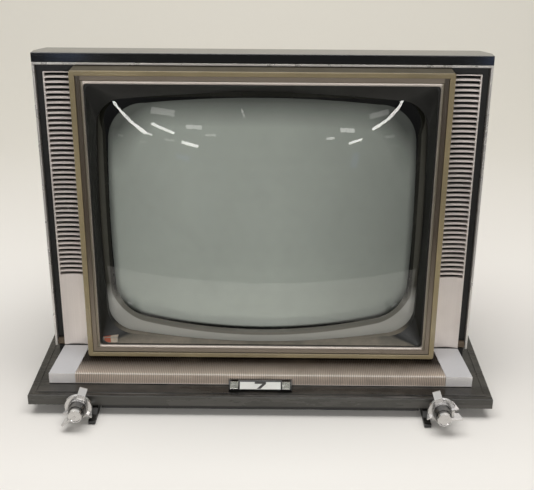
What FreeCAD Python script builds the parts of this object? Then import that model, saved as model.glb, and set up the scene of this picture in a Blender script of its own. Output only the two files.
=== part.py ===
import FreeCAD, Part
import math
import os

# A table television set of the early 1960s, built round a 19-inch, 114-degree picture tube.
# Millimetres, +Z up, front towards -Y. The origin is on the surface the set stands on, midway between
# its knob noses and the cup over the tube's neck, and X = 0 is its centre plane.

V = FreeCAD.Vector

# Driving dimensions
HEIGHT = 426.0                    # floor to the top of the slab
HALF_DEPTH = 212.0                # knob noses at -Y, rear cup at +Y
FRONT = -88.0                     # front plane of the chrome trim
WALL = 2.5                        # moulded plastic walls
GAP = 0.2                         # assembly gap between trim pieces

SLAB_HALF, SLAB_THICK, SLAB_DEPTH = 262.5, 11.2, 28.0
TRIM_HALF, TRIM_WIDTH, TRIM_DEPTH = 262.8, 2.8, 11.0
TRIM_TOP = HEIGHT - SLAB_THICK    # upper face of the chrome line
CABINET_FOOT = 51.0               # underside of the cabinet front
CABINET_BACK = FRONT + 108.0      # where the back cover starts
BODY_HALF = 251.0                 # cabinet behind the flared front stiles
SIDE_THICK = 8.0

COLUMN_IN, COLUMN_OUT = 217.0, 251.0
COLUMN_TOP = 403.7
LOUVRE_FOOT, LOUVRE_PITCH, LOUVRE_SLOT = 150.0, 6.08, 3.0
LOUVRES = 42

BEZEL_HALF, BEZEL_FOOT, BEZEL_TOP, BEZEL_OUT = 216.5, 48.4, 411.1, 25.0
RIM_WIDTH, FRAME_WIDTH, LINE_WIDTH = 6.4, 5.6, 3.4

TUBE_Z = 224.5                    # height of the tube's axis
FACE_RADIUS = 1100.0
FACE_APEX = FRONT - 23.0
SAFETY_THICK, PANEL_THICK = 5.5, 10.0
BADGE_X = -188.2
PANEL_HALF_X, PANEL_HALF_Z = 205.0, 169.0
SEAL_Y, NECK_Y, NECK_END = -58.0, 92.0, 176.0
NECK_R, NECK_BORE = 14.3, 12.5
VIEW_HALF_X, VIEW_HALF_Z = 193.5, 159.3

PLINTH_HALF, PLINTH_TOP, PLINTH_FOOT = 281.7, 27.0, 14.0
PLINTH_FRONT, PLINTH_BACK = FRONT - 83.5, FRONT + 175.0
SUB_HALF, SUB_FOOT = 193.0, 10.0
RUNNER_IN, RUNNER_OUT = 197.5, 205.5
DECK_FRONT, DECK_LIP, DECK_HALF, DECK_REAR_HALF = FRONT - 55.5, 41.2, 261.0, 250.8
RIBBED_HALF, SEAM_LEAN, RIB_PITCH, RIB_DEPTH = 228.4, 9.5, 2.26, 1.1

LABEL_HALF, LABEL_TOP, LABEL_OUT = 38.5, 35.5, 15.0
KEY_IN, KEY_OUT = 27.0, 36.5

KNOB_X, KNOB_Z = 217.0, 22.5
SKIRT_R, WING_REACH, BAR_REACH, BUTTON_R = 16.7, 20.2, 22.0, 8.6
SHAFT_R, RUN = 3.0, 0.05          # shaft radius, and running clearance on it
OUTER_R, SPINDLE_R = 3.6, 2.2     # hollow shaft of the twin controls, and the spindle inside it
CONTROL_FRONT = FRONT + 12.0      # front faces of the volume control and the tuner
CHASSIS_TOP = 66.0
COVER_BACK, CUP_R = 150.0, 46.0
COVER_SCREW_X, COVER_SCREWS = 242.0, (80.0, 225.0, 370.0)
HOLD_X, HOLD_Z, INLET_X = 26.0, 96.0, -100.0


# Shapes used all over the set
def box(x0, x1, y0, y1, z0, z1):
    return Part.makeBox(x1 - x0, y1 - y0, z1 - z0, V(x0, y0, z0))


def rod_y(radius, x, z, y0, y1):
    return Part.makeCylinder(radius, y1 - y0, V(x, y0, z), V(0, 1, 0))


def rod_z(radius, x, y, z0, z1):
    return Part.makeCylinder(radius, z1 - z0, V(x, y, z0))


def cone_y(r0, r1, x, z, y0, y1):
    return Part.makeCone(r0, r1, y1 - y0, V(x, y0, z), V(0, 1, 0))


def side_profile(points, x0, x1):
    """A (y, z) outline carried from x0 to x1."""
    wire = Part.makePolygon([V(x0, y, z) for y, z in points + points[:1]])
    return Part.Face(wire).extrude(V(x1 - x0, 0, 0))


def plan_profile(points, z0, z1):
    """An (x, y) outline carried from z0 to z1."""
    wire = Part.makePolygon([V(x, y, z0) for x, y in points + points[:1]])
    return Part.Face(wire).extrude(V(0, 0, z1 - z0))


def turned_y(points, x, z):
    """A (radius, y) outline turned about the line through x and z along Y."""
    wire = Part.makePolygon([V(x + r, y, z) for r, y in points + points[:1]])
    return Part.Face(wire).revolve(V(x, 0, z), V(0, 1, 0), 360)


def mirrored(shape):
    return shape.mirror(V(0, 0, 0), V(1, 0, 0))


def joined(shapes):
    whole = shapes[0].fuse(shapes[1:]) if len(shapes) > 1 else shapes[0]
    return whole.removeSplitter()


def rounded(shape, radius, pick):
    """The shape with each edge that pick accepts rounded."""
    return shape.makeFillet(radius, [e for e in shape.Edges if pick(e.BoundBox)])


# The tube's outline: four bowed sides joined by round corners, given by five points of one quarter
def quarter(half_x, half_z, bow_x, bow_z, radius):
    cx, cz = half_x - bow_x - radius, half_z - bow_z - radius
    d = radius * math.sqrt(0.5)
    return [(half_x, 0), (half_x - bow_x, cz), (cx + d, cz + d), (cx, half_z - bow_z), (0, half_z)]


def round_quarter(radius):
    turns = [math.radians(a) for a in (0, 30, 45, 60, 90)]
    return [(radius * math.cos(a), radius * math.sin(a)) for a in turns]


def outline(points, y, z_mid=TUBE_Z):
    side, p1, corner, p2, top = points
    ring = [p1, corner, p2, top]
    for sx, sz, back in ((-1, 1, True), (-1, -1, False), (1, -1, True)):
        quarter_points = [(sx * x, sz * z) for x, z in (p1, corner, p2)]
        if back:
            quarter_points.reverse()
        ring += quarter_points + ([(sx * side[0], 0)] if sz * sx < 0 and sx < 0 else [])
        if sx < 0 and sz < 0:
            ring.append((0, -top[1]))
    ring.append(side)
    at = [V(x, y, z_mid + z) for x, z in ring]
    edges = []
    for i in range(0, len(at), 2):
        a, m, b = at[i], at[i + 1], at[(i + 2) % len(at)]
        straight = (m - a).cross(b - m).Length < 1e-6
        edges.append((Part.LineSegment(a, b) if straight else Part.Arc(a, m, b)).toShape())
    return Part.Wire(edges)


def prism(points, y0, y1, z_mid=TUBE_Z):
    return Part.Face(outline(points, y0, z_mid)).extrude(V(0, y1 - y0, 0))


def tube_outline(half_x, half_z, grow=0.0):
    return quarter(half_x + grow, half_z + grow, 2.0, 8.0, 34.0)


def face_ball(inset):
    """Everything behind the tube's curved face, inset mm under its front surface."""
    radius = FACE_RADIUS - inset
    return Part.makeSphere(radius, V(0, FACE_APEX + FACE_RADIUS, TUBE_Z))


# Cabinet
def top_panel():
    back, chamfer = FRONT + SLAB_DEPTH, 17.0
    edge = FRONT - 1.5
    slab = plan_profile([(-SLAB_HALF, edge), (SLAB_HALF, edge), (SLAB_HALF, back - chamfer), (BODY_HALF, back),
                         (-BODY_HALF, back), (-SLAB_HALF, back - chamfer)], TRIM_TOP, HEIGHT)
    hood = side_profile([(back, TRIM_TOP), (back, HEIGHT - 3), (CABINET_BACK, HEIGHT - 24),
                         (CABINET_BACK, HEIGHT - 32)], -BODY_HALF + 1, BODY_HALF - 1)
    slab = rounded(slab, 0.8, lambda b: b.ZMin > HEIGHT - 0.1 or (b.ZLength < 0.1 and b.YMax < FRONT - 1))
    return joined([slab, hood])


def side_panel():
    """Right-hand panel: its front flares out to the trim, its top follows the hood."""
    flare = FRONT + SLAB_DEPTH + 5
    outer = [(SLAB_HALF - 0.5, FRONT + TRIM_DEPTH), (BODY_HALF, flare), (BODY_HALF - 4, CABINET_BACK)]
    inner = [(x - SIDE_THICK, y) for x, y in reversed(outer)]
    wall = plan_profile(outer + inner, CABINET_FOOT, TRIM_TOP)
    back = FRONT + SLAB_DEPTH
    above = side_profile([(back, TRIM_TOP), (CABINET_BACK + 1, HEIGHT - 32.8),
                          (CABINET_BACK + 1, HEIGHT)], BODY_HALF - 30, BODY_HALF + 30)
    pilots = [rod_y(1.5, COVER_SCREW_X, z, CABINET_BACK - 12, CABINET_BACK + 1) for z in COVER_SCREWS]
    return wall.cut([above] + pilots)


def riser():
    """Black box between plinth and cabinet, with the shelf that the works stand on."""
    y0, y1, half, wall = FRONT + GAP, CABINET_BACK - 3, 258.0, 4.0
    block = box(-half, half, y0, y1, PLINTH_TOP, CABINET_FOOT)
    hollow = box(-half + wall, half - wall, y0 + wall, y1 - wall, PLINTH_TOP - 1, CABINET_FOOT - 4)
    wiring = box(120, 180, y0 + 60, y1 - 12, CABINET_FOOT - 5, CABINET_FOOT + 1)
    seat = BEZEL_HALF + 0.5
    rim_seat = box(-seat, seat, y0 - 1, FRONT + 6.2, BEZEL_FOOT - 0.4, CABINET_FOOT + 1)
    return block.cut([hollow, wiring, rim_seat])


def baffle():
    y0, y1 = FRONT + TRIM_DEPTH, FRONT + TRIM_DEPTH + 8
    plate = box(-249.5, 249.5, y0, y1, CABINET_FOOT, TRIM_TOP - 3)
    hole = prism(tube_outline(PANEL_HALF_X, PANEL_HALF_Z, 3.8), y0 - 1, y1 + 1)
    sound = [box(s * 234 - 11, s * 234 + 11, y0 - 1, y1 + 1, 154, 396) for s in (-1, 1)]
    return plate.cut([hole] + sound + [rod_y(1.6, x, z, y0 + 1, y1 + 1) for x, z in ear_holes()])


def front_surround():
    """Black moulding behind the trim: a top bar and four legs that stand between the columns and bezel."""
    y0, y1 = FRONT + 6, FRONT + TRIM_DEPTH
    plate = box(-260 + GAP, 260 - GAP, y0, y1, CABINET_FOOT, TRIM_TOP - 3 - GAP)
    hole = prism(tube_outline(PANEL_HALF_X, PANEL_HALF_Z, 3.8), y0 - 1, y1 + 1)
    mid, half = (COLUMN_IN + COLUMN_OUT) / 2, (COLUMN_OUT - COLUMN_IN) / 2 + GAP
    slots = [box(s * mid - half, s * mid + half, y0 - 1, y1 + 1, 0, COLUMN_TOP + GAP) for s in (-1, 1)]
    foot = box(-208.8, 208.8, y0 - 1, y1 + 1, 0, 140)
    return plate.cut([hole, foot] + slots)


def chrome_trim():
    """One bright strip round the top and both sides of the front."""
    back, inside = FRONT + TRIM_DEPTH, TRIM_HALF - TRIM_WIDTH
    outer = box(-TRIM_HALF, TRIM_HALF, FRONT, back, CABINET_FOOT - 0.5, TRIM_TOP)
    strip = outer.cut(box(-inside, inside, FRONT - 1, back + 1, 0, TRIM_TOP - 3))
    return rounded(strip, 0.6, lambda b: b.YMax < FRONT + 0.1 and max(b.XLength, b.ZLength) > 50)


def grille():
    """Right-hand column: a hollow-faced silver moulding, louvred above and plain below."""
    mid, depth, hollow = (COLUMN_IN + COLUMN_OUT) / 2, 9.0, 2.6
    z0 = CABINET_FOOT + 0.5
    face = Part.Arc(V(COLUMN_IN, FRONT, z0), V(mid, FRONT + hollow, z0), V(COLUMN_OUT, FRONT, z0)).toShape()
    rest = Part.makePolygon([V(COLUMN_OUT, FRONT, z0), V(COLUMN_OUT, FRONT + depth, z0),
                             V(COLUMN_IN, FRONT + depth, z0), V(COLUMN_IN, FRONT, z0)])
    column = Part.Face(Part.Wire([face] + rest.Edges)).extrude(V(0, 0, COLUMN_TOP - z0))
    throat, back = FRONT + 5, FRONT + depth + 1
    slots = []
    for i in range(LOUVRES):
        z = LOUVRE_FOOT + i * LOUVRE_PITCH
        top = z + LOUVRE_SLOT
        slots.append(side_profile([(FRONT - 1, z - 1.2), (throat, z), (back, z), (back, top), (throat, top),
                                   (FRONT - 1, top + 0.3)], COLUMN_IN + 0.9, COLUMN_OUT - 1.7))
    return column.cut(slots)


def grille_cloths():
    cloth = box(COLUMN_IN + 0.2, COLUMN_OUT - 0.2, FRONT + 9.2, FRONT + 10.6, 145, COLUMN_TOP - 0.5)
    return Part.makeCompound([cloth, mirrored(cloth)])


# Back cover
def cover_shape(inset, y0, y1):
    """The cover's tapered outer or inner form."""
    ends = []
    for y, half, z0, z1 in ((y0, 238, 53, 392), (y1, 190, 55, 330)):
        x, z0, z1 = half - inset, z0 + inset, z1 - inset
        ends.append(Part.makePolygon([V(-x, y, z0), V(x, y, z0), V(x, y, z1), V(-x, y, z1), V(-x, y, z0)]))
    return Part.makeLoft(ends, True, True)


def back_cover():
    y0, y1 = CABINET_BACK, COVER_BACK
    flange = box(-246, 246, y0, y0 + 3, CABINET_FOOT, HEIGHT - 33)
    cup = cone_y(CUP_R, CUP_R - 6, 0, TUBE_Z, y1 - 1, HALF_DEPTH)
    cup_inside = cone_y(CUP_R - WALL, CUP_R - 6 - WALL, 0, TUBE_Z, y1 - 4, HALF_DEPTH - WALL)
    shell = joined([flange, cover_shape(0, y0, y1), cup])
    shell = shell.cut([cover_shape(WALL, y0 - 0.01, y1 - WALL), cup_inside])
    vents = []
    for z in [250 + 9 * i for i in range(8)]:
        for x in (-128, 128):
            vents.append(box(x - 50, x + 50, y1 - 8, y1 + 4, z, z + 3.5))
    for z in [120 + 9 * i for i in range(6)]:
        for x in (-120, 120):
            vents.append(box(x - 50, x + 50, y1 - 8, y1 + 4, z, z + 3.5))
    for i in range(8):
        a = math.radians(45 * i)
        x, z = 26 * math.cos(a), TUBE_Z + 26 * math.sin(a)
        vents.append(rod_y(3.5, x, z, HALF_DEPTH - 6, HALF_DEPTH + 1))
    for x in range(-150, 151, 20):
        vents.append(box(x - 3, x + 3, 40, 110, 335, 395))
    holes = [rod_y(2.0, s * COVER_SCREW_X, z, y0 - 1, y0 + 4) for z in COVER_SCREWS for s in (-1, 1)]
    holes += [rod_y(SHAFT_R + RUN, x, HOLD_Z, y1 - 8, y1 + 1) for x in (-HOLD_X, HOLD_X)]
    holes.append(box(INLET_X - 15.2, INLET_X + 15.2, y1 - 8, y1 + 1, 75.8, 94.2))
    return shell.cut(vents + holes)


def screw(x, y, z):
    """Slotted screw driven towards -Y, its head resting on the plane at y."""
    head = rod_y(4.0, x, z, y, y + 2.6).cut(box(x - 5, x + 5, y + 1.6, y + 3, z - 0.4, z + 0.4))
    return joined([head, rod_y(1.4, x, z, y - 9, y + 0.5)])


def screws():
    """Six for the back cover and four for the ears of the tube's band."""
    made = [screw(s * COVER_SCREW_X, CABINET_BACK + 3, z) for z in COVER_SCREWS for s in (-1, 1)]
    made += [screw(x, FRONT + TRIM_DEPTH + 10.6, z) for x, z in ear_holes()]
    return Part.makeCompound(made)


# Bezel
def bezel_ring(inset, width, y0, y1, soften, outer_corner=0.0, inner_corner=0.0):
    """A rectangular ring of the bezel, its front edges rounded."""
    forms = []
    for a, corner, over in ((inset, outer_corner, 0), (inset + width, inner_corner, 1)):
        half = BEZEL_HALF - a
        form = box(-half, half, y0 - over, y1 + over, BEZEL_FOOT + a, BEZEL_TOP - a)
        forms.append(rounded(form, corner, lambda b: b.YLength > 5) if corner else form)
    return rounded(forms[0].cut(forms[1]), soften, lambda b: b.YLength < 0.1 and b.YMax < y0 + 0.1)


def bezel_rim():
    return bezel_ring(0, RIM_WIDTH, FRONT - BEZEL_OUT, FRONT + 5.8, 1.2, outer_corner=3.0)


def bezel_frame():
    return bezel_ring(RIM_WIDTH + 0.1, FRAME_WIDTH, FRONT - BEZEL_OUT + 1.5, FRONT - 6, 0.8)


def bezel_trim():
    inset = RIM_WIDTH + FRAME_WIDTH + 0.2
    return bezel_ring(inset, LINE_WIDTH, FRONT - BEZEL_OUT + 0.8, FRONT - 14, 1.3, inner_corner=3.5)


def screen_mask():
    """Black funnel-sided mask whose back follows the tube's face."""
    inset = RIM_WIDTH + FRAME_WIDTH + LINE_WIDTH + 0.3
    half_x, z0, z1 = BEZEL_HALF - inset, BEZEL_FOOT + inset, BEZEL_TOP - inset
    y0, lip = FRONT - BEZEL_OUT + 4, FRONT - 10
    block = rounded(box(-half_x, half_x, y0, FRONT + 4, z0, z1), 3.4, lambda b: b.YLength > 5)
    front = outline(quarter(half_x - 1.4, (z1 - z0) / 2 - 1.4, 0, 0, 7), y0 - 0.01, (z0 + z1) / 2)
    view = tube_outline(VIEW_HALF_X, VIEW_HALF_Z)
    dish = Part.makeLoft([front, outline(view, lip, TUBE_Z)], True, True)
    through = prism(view, lip - 0.5, FRONT + 5)
    return block.cut([dish, through, face_ball(-0.3)])


def badge():
    """Small plain two-part name plate on the mask's lower left corner."""
    y0 = FRONT - BEZEL_OUT + 4.6
    x, z0, z1 = BADGE_X, 64.6, 73.6
    plate = box(x - 9, x + 9, y0, FRONT - 8, z0, z1)
    window = box(x - 8, x + 8, y0 - 1, y0 + 0.7, z0 + 1, z1 - 1)
    tiles = [box(x + d - 3.6, x + d + 3.6, y0 + 0.2, y0 + 1.2, z0 + 1.4, z1 - 1.4) for d in (-3.9, 3.9)]
    body = joined([plate.cut(window)] + tiles)
    return body.cut([screen_mask(), face_ball(-0.5)])


# Picture tube
def safety_panel():
    body = prism(tube_outline(197, 163), FACE_APEX - 2, SEAL_Y)
    return body.common(face_ball(0)).cut(face_ball(SAFETY_THICK))


def tube_faceplate():
    outer = prism(tube_outline(PANEL_HALF_X, PANEL_HALF_Z), FACE_APEX - 2, SEAL_Y)
    inner = prism(tube_outline(PANEL_HALF_X, PANEL_HALF_Z, -11), FACE_APEX - 2, SEAL_Y + 1)
    inner = inner.common(face_ball(SAFETY_THICK + PANEL_THICK))
    return outer.common(face_ball(SAFETY_THICK)).cut(inner)


def phosphor_screen():
    body = prism(quarter(184.5, 150, 2, 9, 46), FACE_APEX - 2, SEAL_Y)
    depth = SAFETY_THICK + PANEL_THICK
    return body.common(face_ball(depth)).cut(face_ball(depth + 0.6))


def funnel_width(u):
    """Share of the panel's width left at share u of the way from the seal to the neck."""
    return (1 - u ** 1.35) ** 1.15


def funnel_shape(inset):
    sections = []
    for u in (0, 0.15, 0.3, 0.45, 0.6, 0.75, 0.87, 1.0):
        share = min(1.0, u / 0.8)
        share = share * share * (3 - 2 * share)
        half = NECK_R + (PANEL_HALF_X - 0.5 - NECK_R) * funnel_width(u)
        flat = tube_outline(PANEL_HALF_X, PANEL_HALF_Z)
        ring = round_quarter(half - inset)
        scale = (half - inset) / PANEL_HALF_X
        points = [((1 - share) * fx * scale + share * rx, (1 - share) * fz * scale + share * rz)
                  for (fx, fz), (rx, rz) in zip(flat, ring)]
        sections.append(outline(points, SEAL_Y + u * (NECK_Y - SEAL_Y)))
    return Part.makeLoft(sections, True, False)


def tube_funnel():
    return funnel_shape(0).cut(funnel_shape(NECK_R - NECK_BORE))


def tube_neck():
    tube = rod_y(NECK_R, 0, TUBE_Z, NECK_Y, NECK_END)
    return tube.cut(rod_y(NECK_BORE, 0, TUBE_Z, NECK_Y - 1, NECK_END - 3))


def electron_gun():
    """Cathode cup, grids and anode cylinder held in line by two glass beading rods."""
    parts = []
    for radius, y0, y1 in ((9.5, 104, 118), (7.5, 121, 134), (9, 137, 146), (7, 149, 153), (7, 156, 162)):
        can = rod_y(radius, 0, TUBE_Z, y0, y1).cut(rod_y(radius - 1, 0, TUBE_Z, y0 - 1, y1 - 1))
        parts.append(can.cut(rod_y(1.0, 0, TUBE_Z, y0 - 1, y1 + 1)))
    for s in (-1, 1):
        parts.append(box(s * 9.2 - 2, s * 9.2 + 2, 106, 171, TUBE_Z - 1.5, TUBE_Z + 1.5))
        parts.append(box(-9.5, 9.5, 141, 143, TUBE_Z + s * 3 - 0.8, TUBE_Z + s * 3 + 0.8))
    for y in (129, 151, 159):
        ring = rod_y(9.5, 0, TUBE_Z, y - 0.5, y + 0.5).cut(rod_y(6.2, 0, TUBE_Z, y - 1, y + 1))
        parts.append(ring)
    return joined(parts)


def tube_pins(radius, y0, y1):
    turns = [math.radians(40 * i + 20) for i in range(8)]
    return [rod_y(radius, 7.6 * math.cos(a), TUBE_Z + 7.6 * math.sin(a), y0, y1) for a in turns]


def tube_base():
    shell = rod_y(15.4, 0, TUBE_Z, NECK_END, NECK_END + 9)
    spigot = rod_y(3.4, 0, TUBE_Z, NECK_END + 8, NECK_END + 20)
    return joined([shell, spigot] + tube_pins(0.6, NECK_END + 8, NECK_END + 18))


def tube_socket():
    y0 = NECK_END + 9.3
    body = rod_y(17, 0, TUBE_Z, y0, y0 + 13)
    return body.cut([rod_y(3.6, 0, TUBE_Z, y0 - 1, y0 + 14)] + tube_pins(0.75, y0 - 1, y0 + 10))


def ear_holes():
    return [(s * 217, TUBE_Z + t * 129) for s in (-1, 1) for t in (-1, 1)]


def implosion_band():
    """Steel band shrunk round the panel, with four drilled ears."""
    y0, y1, ear_y = -73.0, -61.0, FRONT + TRIM_DEPTH + 8.2
    band = prism(tube_outline(PANEL_HALF_X, PANEL_HALF_Z, 1.8), y0, y1)
    ears = [box(x - 12 if x < 0 else x - 15, x + 15 if x < 0 else x + 9, ear_y, ear_y + 2.4, z - 11, z + 11)
            for x, z in ear_holes()]
    inside = prism(tube_outline(PANEL_HALF_X, PANEL_HALF_Z, 0.05), y0 - 9, y1 + 9)
    holes = [rod_y(2.4, x, z, ear_y - 1, ear_y + 4) for x, z in ear_holes()]
    return joined([band] + ears).cut([inside] + holes)


def lead_tube(points, radius):
    """A round lead along straight runs joined by tangent arcs."""
    edges, here = [], points[0]
    for a, b, c in zip(points, points[1:], points[2:]):
        u, w = (a - b).normalize(), (c - b).normalize()
        half_turn = (math.pi - u.getAngle(w)) / 2
        cut = 0.45 * min(a.distanceToPoint(b), b.distanceToPoint(c))
        p, q = b + u * cut, b + w * cut
        middle = (u + w).normalize()
        reach = cut / math.tan(half_turn)
        centre = b + middle * math.hypot(cut, reach)
        m = centre - middle * reach
        edges += [Part.LineSegment(here, p).toShape(), Part.Arc(p, m, q).toShape()]
        here = q
    edges.append(Part.LineSegment(here, points[-1]).toShape())
    path = Part.Wire(edges)
    ring = Part.Wire(Part.Circle(points[0], points[1] - points[0], radius).toShape())
    return path.makePipeShell([ring], True, True)


def anode_lead():
    """High-voltage lead with its moulded cup, from the funnel to the line-output transformer."""
    at = V(86.3, 5, TUBE_Z + 115.4)
    way = V(0.344, 0.82, 0.458).normalize()
    cup = Part.makeCone(13, 5, 9, at - way * 2, way)
    stem = Part.makeCylinder(4, 9, at + way * 6, way)
    start = at + way * 14
    points = [start, start + way * 14, V(128, 62, 330), V(152, 78, 280), V(155, 85, 215), V(146, 85, 165),
              V(146, 85, 138.2)]
    cup = joined([cup, stem]).cut(funnel_shape(-0.9))
    return joined([cup, lead_tube(points, 2.2)])


# Deflection parts
def yoke_coils():
    coil = turned_y([(51, 66), (34, 79), (20.5, 91), (16, 97), (15.2, 114), (24, 114), (26, 100), (40, 85),
                     (62, 73), (62, 66)], 0, TUBE_Z)
    return coil.cut(funnel_shape(-0.4))


def yoke_core():
    return turned_y([(27, 111), (29, 100.5), (42.5, 86), (48, 82.8), (58, 82.8), (42, 111)], 0, TUBE_Z)


def centring_ring(y, turn):
    """Magnet ring that turns on the neck, with a finger tab."""
    ring = rod_y(24, 0, TUBE_Z, y, y + 4).cut(rod_y(NECK_R + RUN, 0, TUBE_Z, y - 1, y + 5))
    tab = box(-3.5, 3.5, y + 1, y + 3.2, TUBE_Z + 22, TUBE_Z + 33)
    tab.rotate(V(0, y, TUBE_Z), V(0, 1, 0), turn)
    return joined([ring, tab])


# Base
def plinth():
    """Hollow black base: top plate, skirts, and a bead that runs parallel to the edges."""
    x, y0, y1, wall = PLINTH_HALF, PLINTH_FRONT, PLINTH_BACK, 3.0
    block = box(-x, x, y0, y1, PLINTH_FOOT, PLINTH_TOP)
    block = rounded(block, 1.2, lambda b: b.ZMin > PLINTH_TOP - 0.1)
    hollow = box(-x + wall, x - wall, y0 + wall, y1 - wall, PLINTH_FOOT - 1, PLINTH_TOP - wall)
    works = box(-250, 250, FRONT + 8, CABINET_BACK - 12, PLINTH_TOP - wall - 1, PLINTH_TOP + 1)
    rings = [box(-x + d, x - d, y0 + d, y1 - d, PLINTH_TOP - 0.5 - over, PLINTH_TOP + 0.7 + over)
             for d, over in ((7.5, 0), (9.1, 1))]
    bead = rings[0].cut(rings[1])
    holes = []
    for s in (-1, 1):
        at = s * KNOB_X
        holes.append(rod_y(5.1, at, KNOB_Z, y0 - 1, y0 + wall + 1))
        holes.append(box(at - 4.2, at + 4.2, y0 + wall, FRONT + 9, KNOB_Z - 4, KNOB_Z + 3.8))
    return joined([block.cut([hollow, works]), bead]).cut(holes)


def sub_base():
    plate = box(-278, 278, PLINTH_FRONT + 3.5, PLINTH_BACK - 3.5, PLINTH_FOOT + 0.2, PLINTH_FOOT + 2.2)
    web = box(-SUB_HALF, SUB_HALF, PLINTH_FRONT + 3.5, PLINTH_BACK - 8, SUB_FOOT, PLINTH_FOOT + 0.2)
    pan = box(-SUB_HALF, SUB_HALF, PLINTH_FRONT + 0.4, PLINTH_BACK - 8, SUB_FOOT, PLINTH_FOOT - 0.1)
    return joined([plate, web, pan])


def runner():
    """Right-hand skid: it carries the set and reaches out past the fascia with a low rounded nose."""
    nose, step, end, top = FRONT - 106, PLINTH_FRONT + 1, PLINTH_BACK - 20, PLINTH_FOOT + 0.2
    under = [(nose + 0.6, 3.8), (nose, 2.4), (nose + 0.6, 0.8), (nose + 3, 0), (end, 0), (end, top)]
    over = [(step + 2.7, top), (step + 2.7, SUB_FOOT), (step, SUB_FOOT), (step - 8, 5), (nose + 2, 4.6)]
    return side_profile(under + over, RUNNER_IN, RUNNER_OUT)


def deck_section(thick=3.5, cut=0.0):
    """The deck's (y, z) outline: an upright front and a top that climbs to the cabinet."""
    front, back, foot = DECK_FRONT + cut, FRONT - 0.4, PLINTH_TOP + 0.75
    rise = (CABINET_FOOT - DECK_LIP) / (FRONT - DECK_FRONT)
    lip, top = DECK_LIP + rise * cut - cut, DECK_LIP + rise * (back - DECK_FRONT) - cut
    below = thick - cut
    return [(front, foot), (front, lip), (back, top), (back, top - below),
            (front + below, lip + rise * below - below), (front + below, foot)]


def beyond_seam(gap):
    """Space beyond the slanting seam between the ribs and the right end cap, gap mm away from it."""
    lean = SEAM_LEAN / (FRONT - DECK_FRONT)
    y0, y1, x = DECK_FRONT - 5, FRONT + 5, RIBBED_HALF + gap
    return plan_profile([(x + 5 * lean, y0), (300, y0), (300, y1), (x - (y1 - DECK_FRONT) * lean, y1)], 0, 60)


def deck_ribbed():
    """Centre of the deck, with fine ribs that run down its front and back along its top."""
    floor, skin = deck_section(cut=RIB_DEPTH), deck_section()
    (front, foot), lip, back = floor[0], floor[1], floor[2]
    groove = [(DECK_FRONT - 1, foot + 1.2), (DECK_FRONT - 1, skin[1][1] + 1), (back[0] + 1, skin[2][1] + 1.4),
              (back[0] + 1, back[1]), lip, (front, foot + 1.2)]
    count = int(2 * RIBBED_HALF / RIB_PITCH)
    starts = [(i - count / 2) * RIB_PITCH for i in range(count)]
    grooves = [side_profile(groove, x + 0.9, x + RIB_PITCH) for x in starts]
    wide, half = BEZEL_HALF + 0.4, LABEL_HALF + GAP
    under_bezel = box(-wide, wide, FRONT - 15.8, FRONT, CABINET_FOOT - 8, CABINET_FOOT + 1)
    housing = box(-half, half, DECK_FRONT - 1, DECK_FRONT + 4, 20, LABEL_TOP + GAP)
    seam = beyond_seam(0)
    centre = side_profile(skin, -RIBBED_HALF, RIBBED_HALF)
    return centre.cut(grooves + [under_bezel, housing, seam, mirrored(seam)])


def deck_cap():
    """Right-hand end of the deck, plain, narrowing to the cabinet."""
    top, end, front = deck_section(), FRONT + 1, DECK_FRONT + 3.5
    cap = side_profile(top, RIBBED_HALF - SEAM_LEAN - 1, DECK_HALF).common(beyond_seam(0.1))
    side = side_profile(top[:3] + [(FRONT - 0.4, PLINTH_TOP + 0.75)], DECK_REAR_HALF - 4, DECK_HALF)
    outside = plan_profile([(DECK_HALF, DECK_FRONT - 1), (DECK_HALF + 20, DECK_FRONT - 1),
                            (DECK_HALF + 20, end), (DECK_REAR_HALF, end)], 0, 60)
    inside = plan_profile([(DECK_HALF - 3, front), (DECK_REAR_HALF - 3, end), (DECK_REAR_HALF - 30, end),
                           (DECK_REAR_HALF - 30, front)], 0, 36.5)
    return joined([cap, side]).cut([outside, inside])


# Centre housing on the deck's front, with its label and two keys
def label_housing():
    """Black housing with a sloping front: a recess for the label between two key wells."""
    y, z, nose = DECK_FRONT, PLINTH_TOP, DECK_FRONT - LABEL_OUT
    body = side_profile([(nose, z + 0.1), (nose, z + 2.6), (y - 2.2, LABEL_TOP), (y + 3.2, LABEL_TOP),
                         (y + 3.2, z + 0.1)], -LABEL_HALF, LABEL_HALF)
    recess = side_profile([(nose + 1.4, z + 1.8), (nose - 4.2, z + 5.2), (y - 7.2, LABEL_TOP + 6.2),
                           (y - 3.2, LABEL_TOP - 2.2)], -25.2, 25.2)
    wells = [box(s * (KEY_IN + KEY_OUT) / 2 - 4.95, s * (KEY_IN + KEY_OUT) / 2 + 4.95, nose - 3, y - 1.5, z + 2,
                 LABEL_TOP + 1) for s in (-1, 1)]
    return body.cut([recess] + wells)


def label_plate():
    """White strip that lies in the housing's sloping recess."""
    y, z = DECK_FRONT, PLINTH_TOP
    return side_profile([(y - LABEL_OUT + 1.5, z + 2.0), (y - LABEL_OUT + 0.9, z + 2.9),
                         (y - 4.0, LABEL_TOP - 1.3), (y - 3.4, LABEL_TOP - 2.1)], -25.0, 25.0)


def key():
    """Right-hand push key: a block with a bright sloping top, pressed in towards the deck."""
    y = DECK_FRONT
    nose, foot, top = y - LABEL_OUT - 1, PLINTH_TOP + 2.1, LABEL_TOP - 0.4
    body = side_profile([(nose, foot), (nose, foot + 2.3), (y - 5.2, top), (y - 4.2, top), (y - 4.2, foot)],
                        KEY_IN - 0.1, KEY_OUT + 0.1)
    return rounded(body, 0.5, lambda b: b.XLength > 5 and b.ZMin > PLINTH_TOP + 3)


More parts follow.
